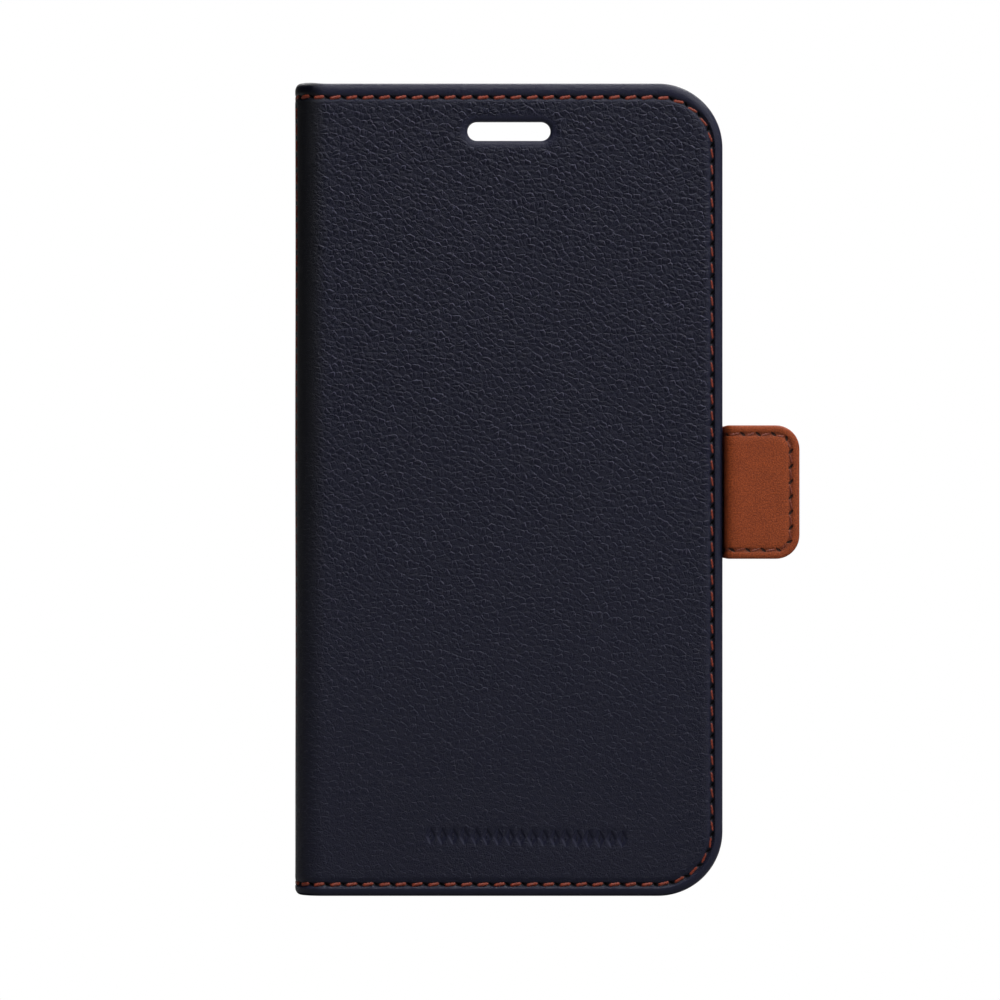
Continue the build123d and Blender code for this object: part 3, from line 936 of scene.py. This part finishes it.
def navy_leather():
    """Pebbled calf: scale-like pebbles, strongest towards the top of the cover, with a painted highlight on
    their upper right tips.
    """
    look = Surface("navy_leather", 0.4, Specular_IOR_Level=0.17)
    place = look.place()
    along, up, depth = look.node("SeparateXYZ", Vector=place).outputs
    shown = look.node("Attribute", {"attribute_name": "grain"}).outputs["Fac"]
    # Painted shade on the spine's rounded corner, stronger towards the top. The grain is also smoothed there.
    painted_spine_shade = look.ranged(along, flat_start - 2.6, flat_start + 1.6, 0.92, 0.0)
    painted_spine_shade = look.product(painted_spine_shade, look.ranged(up, 5.0, 110.0, 0.1, 1.0))
    bent = look.warped(look.warped(place, 0.3, 1.2), 1.3, 0.5)
    flat = look.turned(look.stretched(bent, (1.0, 1.15, 1.0)), grain_turn)
    edge = look.cells(flat, pebble_scale, "DISTANCE_TO_EDGE").outputs["Distance"]
    lift = look.scale_lift(flat, pebble_scale)
    crease = look.ranged(edge, 0.0, 0.17)
    dome = look.ranged(edge, 0.0, 0.5)
    patchy = look.ranged(look.noise(place, 0.75, 2.0), 0.42, 0.6, 0.15, 1.0)
    outside_spine_shade = look.maths("SUBTRACT", 1.0, painted_spine_shade)
    strength = look.product(look.ranged(up, 0.0, 135.0, 0.2, 1.0), shown, outside_spine_shade)
    fine = look.noise(place, 3.8, 3.0, 0.8)
    raised = look.product(crease, lift, patchy)
    relief = look.maths("ADD", look.product(raised, 1.5), look.product(dome, 0.3))
    look.raise_by(look.product(relief, strength), 0.21)
    look.raise_by(look.product(fine, look.maths("MULTIPLY_ADD", shown, 0.55, 0.45)), 0.21)
    slits = look.awl_slits(stitch_pitch)
    look.raise_by(slits, -0.1)
    ridge = look.product(look.ranged(edge, 0.02, 0.07), look.ranged(edge, 0.09, 0.17, 1.0, 0.0))
    # Painted highlight: a pale lavender band along each pebble's upper right edge, on the side that faces the
    # light.
    painted_crest_highlight = look.product(ridge, look.ranged(lift, 0.6, 0.95), patchy, strength, 0.95)
    # Painted shade: the creases between the pebbles painted darker.
    crease_shaded = look.mixed(crease, srgb(13, 15, 29), srgb(18, 19, 36))
    colour = look.mixed(look.ranged(fine, 0.35, 0.65), crease_shaded, srgb(20, 21, 39))
    colour = look.mixed(painted_crest_highlight, colour, srgb(78, 79, 102))
    # Painted highlight: the smooth border outside the seam painted lighter all round.
    colour = look.mixed(look.ranged(shown, 0.15, 0.8, 1.0, 0.0), colour, srgb(28, 29, 46))
    # Painted shade: the spine's corner painted near-black.
    colour = look.mixed(painted_spine_shade, colour, srgb(4, 5, 13))
    colour = look.mixed(look.product(look.groove(), 0.6), colour, srgb(10, 10, 17))
    # Painted shade: the awl slits painted near-black.
    colour = look.mixed(slits, colour, srgb(3, 3, 5))
    rough = look.maths("MULTIPLY_ADD", shown, 0.1, look.ranged(fine, 0.3, 0.7, 0.32, 0.28, False))
    rough = look.maths("ADD", rough, look.product(slits, 0.5))
    return look.paint(colour, rough)


def cut_edge():
    """Painted cut edge of the covers."""
    look = Surface("painted_cut_edge", 0.6)
    place = look.place()
    fine = look.noise(place, 2.5, 3.0)
    look.raise_by(fine, 0.05)
    return look.paint(look.mixed(fine, srgb(14, 15, 21), srgb(26, 27, 36)))


def tan_leather(name, light, dark):
    """Smooth vegetable-tanned leather: faint mottling and pores."""
    look = Surface(name, 0.55, Specular_IOR_Level=0.22)
    place = look.place()
    cloud = look.noise(place, 0.3, 3.0, 0.6)
    pores = look.noise(place, 3.4, 4.0, 0.7)
    look.raise_by(pores, 0.12)
    slits = look.awl_slits(strap_pitch)
    look.raise_by(slits, -0.2)
    tone = look.maths("ADD", look.product(cloud, 0.12), look.product(pores, 0.88))
    colour = look.mixed(look.ranged(tone, 0.4, 0.6), dark, light)
    colour = look.mixed(look.product(look.groove(), 0.5), colour, srgb(64, 22, 10))
    # Painted shade: the awl slits painted nearly black.
    colour = look.mixed(look.product(slits, 0.92), colour, srgb(22, 8, 4))
    rough = look.ranged(pores, 0.3, 0.7, 0.5, 0.66, False)
    return look.paint(colour, rough)


def microfibre():
    """Short-napped lining."""
    look = Surface("lining_microfibre", 0.95, Sheen_Weight=0.08, Sheen_Roughness=0.5, Specular_IOR_Level=0.15)
    place = look.place()
    nap = look.noise(look.stretched(place, (1.0, 0.35, 1.0)), 9.0, 5.0, 0.7)
    broad = look.noise(place, 0.12, 3.0)
    look.raise_by(nap, 0.06)
    tone = look.maths("ADD", look.product(nap, 0.6), look.product(broad, 0.4))
    return look.paint(look.mixed(look.ranged(tone, 0.3, 0.7), srgb(24, 25, 33), srgb(48, 50, 62)))


def thread_look(name, light, dark):
    """Waxed twisted thread."""
    look = Surface(name, 0.42, Specular_IOR_Level=0.4)
    place = look.place()
    fibres = look.noise(look.stretched(place, (1.0, 4.0, 1.0)), 3.4, 4.0, 0.7)
    look.raise_by(fibres, 0.1)
    return look.paint(look.mixed(look.ranged(fibres, 0.38, 0.62), dark, light))


def moulded_plastic():
    """Fine matt moulding of the phone tray."""
    look = Surface("tray_plastic", 0.6, Specular_IOR_Level=0.3)
    place = look.solid_place()
    texture = look.noise(place, 3.2, 3.0, 0.6)
    look.raise_by(texture, 0.03)
    colour = look.mixed(texture, srgb(18, 18, 20), srgb(30, 30, 33))
    return look.paint(colour, look.ranged(texture, 0.3, 0.7, 0.52, 0.68, False))


def plain_solid(name, light, dark, scale, rough, bump, metallic=0.0):
    """Hidden inner pieces: board, glue, steel and magnets, each with its own grain."""
    look = Surface(name, rough, Metallic=metallic)
    place = look.solid_place()
    grain = look.noise(look.stretched(place, (1.0, 1.0, 0.3)), scale, 4.0, 0.6)
    look.raise_by(grain, bump)
    return look.paint(look.mixed(grain, dark, light), look.ranged(grain, 0.3, 0.7, rough * 0.8, rough, False))


# ---- the pieces
navy = navy_leather()
edge_paint = cut_edge()
tan = tan_leather("tan_leather", srgb(145, 65, 27), srgb(108, 45, 18))
tan_edge = tan_leather("tan_painted_edge", srgb(142, 68, 38), srgb(120, 54, 28))
lining_look = microfibre()
rust_thread = thread_look("rust_thread", srgb(150, 55, 27), srgb(70, 22, 11))
brown_thread = thread_look("brown_thread", srgb(124, 50, 27), srgb(78, 29, 15))


def bend(piece, first, second, start, end):
    """Bakes a piece's transform into its mesh. The two bodies and the two places are not used."""
    Vector((*start, 0)) * MM
    Vector((*end, 0)) * MM
    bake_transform(piece)


def blend_cover(piece, side):
    """Works out the corner between a skin's cover and the spine and hands it to bend, which only bakes the
    skin's transform.
    """
    body = "back" if side == BACK else "front"
    corner_y = outer_face(side) - side * spine_corner
    bend(piece, body, "spine", (x_flat, outer_face(side)), (x_spine, corner_y))


def dress(piece, slot, *replaced):
    """Hides the CAD nodes that a piece stands for. The piece and its slot are not used."""
    if replaced:
        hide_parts(*replaced)


def dress_cover(side, name, replaced_leather, replaced_lining, replaced_thread):
    skin, edge = make_cover_skin(side, f"{name}_cover_skin", [navy, edge_paint])
    dress(skin, "navy_leather", *replaced_leather)
    blend_cover(skin, side)
    sheet = make_lining(side, f"{name}_cover_lining", [lining_look])
    dress(sheet, "lining", *replaced_lining)
    blend_cover(sheet, side)
    thread = make_cover_thread(side, edge, f"{name}_cover_stitches", rust_thread)
    dress(thread, "thread", *replaced_thread)
    blend_cover(thread, side)
    inner = make_inner_thread(side, edge, f"{name}_inner_stitches", rust_thread)
    dress(inner, "thread")
    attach(inner, name)


front_lining_nodes = ("front_lining", "spine_lining")
front_thread_nodes = ("front_thread", "spine_thread")
dress_cover(FRONT, "front", ("front_leather", "spine_leather"), front_lining_nodes, front_thread_nodes)
dress_cover(BACK, "back", ("back_leather",), ("back_lining",), ("back_thread",))

for name, box, corner in [("note_pocket", (note_low, note_high), cover_corner - 0.3)] + [
    (f"card_pocket_{k + 1}", box, 1.0) for k, box in enumerate(pocket_boxes)
]:
    panel = make_pocket(f"{name}_leather", *box, corner, [tan, tan_edge])
    dress(panel, "tan_leather", name)
    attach(panel, "front")

full = strap_thickness
tab_straight = y_side_middle - y_tab - tab_bend
tab_length = tab_straight + tab_bend * math.pi / 2 + (tab_high[0] - x_strap - tab_bend)


def tab_thickness(s):
    """The strap is pared thinner where it folds."""
    past = s - tab_straight - tab_bend * math.pi / 4
    return full - 0.5 * np.exp(-((past / 1.1) ** 2))


wrap_tab = wrap_strap(tab_straight, tab_bend, 1, -math.pi / 2, (x_strap, y_side_middle), tab_thickness)
tab, tab_edge = make_strap("strap_tab_leather", tab_length, wrap_tab)
tab_thread = make_strap_thread("strap_tab_stitches", tab_edge, wrap_tab)
root_start = y_side_middle - strap_lap
root_straight = y_root - root_start - root_bend
root_bent = root_straight + root_bend * math.pi / 2


def root_thickness(s):
    return full - 0.9 * smooth(root_straight, root_bent + 0.5, s)


root_length = root_bent + root_reach
wrap_root = wrap_strap(root_straight, root_bend, 1, math.pi / 2, (x_strap, root_start), root_thickness)
root, root_edge = make_strap("strap_root_leather", root_length, wrap_root)
root_thread = make_strap_thread("strap_root_stitches", root_edge, wrap_root, root_straight + 0.6)

dress(tab, "tan_leather", "tab_front_leather", "tab_back_leather", "strap_side_outer_leather")
dress(root, "tan_leather", "strap_side_inner_leather", "strap_root_tongue")
dress(tab_thread, "thread", "tab_thread")
dress(root_thread, "thread", "strap_side_thread")
for piece in (tab, tab_thread):
    bend(piece, "strap_side", "strap_tab", (x_strap, y_tab + tab_blend), (x_strap + tab_blend, y_tab))
for piece in (root, root_thread):
    bend(piece, "back", "strap_side", (x_strap - root_bend, y_root), (x_strap, y_root - root_bend))

# ---- CAD nodes that stay
kept = {
    "phone_tray": moulded_plastic(),
    "front_board": plain_solid("grey_board", srgb(150, 142, 130), srgb(112, 104, 92), 1.6, 0.9, 0.05),
    "tray_glue_pad": plain_solid("glue_pad", srgb(40, 40, 42), srgb(22, 22, 24), 2.0, 0.8, 0.04),
    "closure_keeper_plate": plain_solid(
        "zinc_steel", srgb(190, 190, 192), srgb(140, 140, 144), 2.5, 0.45, 0.02, 1.0
    ),
    "tab_magnets": plain_solid("nickel", srgb(205, 202, 198), srgb(165, 162, 158), 1.2, 0.3, 0.01, 1.0),
}
kept["back_board"] = kept["front_board"]
for name, material in kept.items():
    node = frame["nodes"][name]
    node.data.materials.clear()
    node.data.materials.append(material)
tray = frame["nodes"]["phone_tray"]
softened = tray.modifiers.new("soft edges", "BEVEL")
softened.width = 0.25 * MM
softened.segments = 3
softened.limit_method = "ANGLE"
softened.harden_normals = False

# ---- stage, lights and camera
centre_x = (x_spine + x_edge) / 2


def make_backdrop():
    """Pale sweep: a floor that curves up behind the case."""
    half, front, behind, rise, curve = 3.0, 2.2, 1.6, 2.6, 0.7
    outline = [(-front, 0.0), (behind - curve, 0.0)]
    for angle in np.linspace(0, math.pi / 2, 16):
        outline.append((behind - curve + curve * math.sin(angle), curve - curve * math.cos(angle)))
    outline.append((behind, rise))
    mesh = bpy.data.meshes.new("sweep")
    points = [(side * half, y, z) for y, z in outline for side in (-1, 1)]
    faces = [(2 * k, 2 * k + 1, 2 * k + 3, 2 * k + 2) for k in range(len(outline) - 1)]
    mesh.from_pydata(points, [], faces)
    mesh.polygons.foreach_set("use_smooth", np.ones(len(faces), bool))
    look = Surface("white_sweep", 0.9)
    tint = look.noise(look.node("TexCoord").outputs["Object"], 2.0)
    look.paint(look.mixed(tint, (0.24, 0.24, 0.24, 1), (0.28, 0.28, 0.28, 1)))
    glow = look.node("Emission", Color=(1, 1, 1, 1), Strength=1.0)
    seen = look.node("LightPath").outputs["Is Camera Ray"]
    both = look.node("MixShader")
    for socket, value in zip(both.inputs, (seen, look.shader.outputs[0], glow.outputs[0])):
        look.feed(socket, value)
    look.feed(look.tree.nodes["Material Output"].inputs["Surface"], both.outputs[0])
    mesh.materials.append(look.material)
    sweep = bpy.data.objects.new("sweep", mesh)
    bpy.context.scene.collection.objects.link(sweep)


def add_light(name, place, target, size, power):
    data = bpy.data.lights.new(name, "AREA")
    data.shape = "RECTANGLE"
    data.size, data.size_y = size
    data.energy = power
    light = bpy.data.objects.new(name, data)
    light.location = place
    light.rotation_euler = (Vector(target) - Vector(place)).to_track_quat("-Z", "Y").to_euler()
    bpy.context.scene.collection.objects.link(light)


room_light = 0.02


def make_room():
    """Dim even room light. The room itself looks as white as the backdrop."""
    world = bpy.data.worlds.new("room")
    world.use_nodes = True
    tree = world.node_tree
    shade = tree.nodes["Background"]
    shade.inputs["Color"].default_value = (1, 1, 1, 1)
    seen = tree.nodes.new("ShaderNodeLightPath")
    strength = tree.nodes.new("ShaderNodeMapRange")
    strength.inputs["To Min"].default_value = room_light
    tree.links.new(seen.outputs["Is Camera Ray"], strength.inputs["Value"])
    tree.links.new(strength.outputs["Result"], shade.inputs["Strength"])
    bpy.context.scene.world = world


def make_camera():
    data = bpy.data.cameras.new("camera")
    data.lens = 200
    data.sensor_width = 36
    frame_width = 194.8 * MM
    distance = frame_width * data.lens / data.sensor_width
    camera = bpy.data.objects.new("camera", data)
    aim_x, aim_z = centre_x - 1.64, 77.2
    camera.location = Vector((aim_x * MM, y_front * MM - distance, aim_z * MM))
    camera.rotation_euler = (math.pi / 2, 0, 0)
    bpy.context.scene.collection.objects.link(camera)
    bpy.context.scene.camera = camera


make_backdrop()
middle = Vector((centre_x * MM, 0, height / 2 * MM))
add_light("key_upper_right", (0.78, -0.93, 1.02), middle, (0.46, 0.32), 15.0)
add_light("back_soft", (0.6, 1.0, 1.25), middle, (0.5, 0.4), 12.0)
add_light("spine_soft", (-0.4, 1.05, 1.25), middle, (0.5, 0.4), 14.0)
add_light("top_soft", (0.22, -0.3, 1.12), middle, (0.5, 0.4), 14.0)
make_room()
bpy.context.scene.view_settings.view_transform = "Standard"
make_camera()
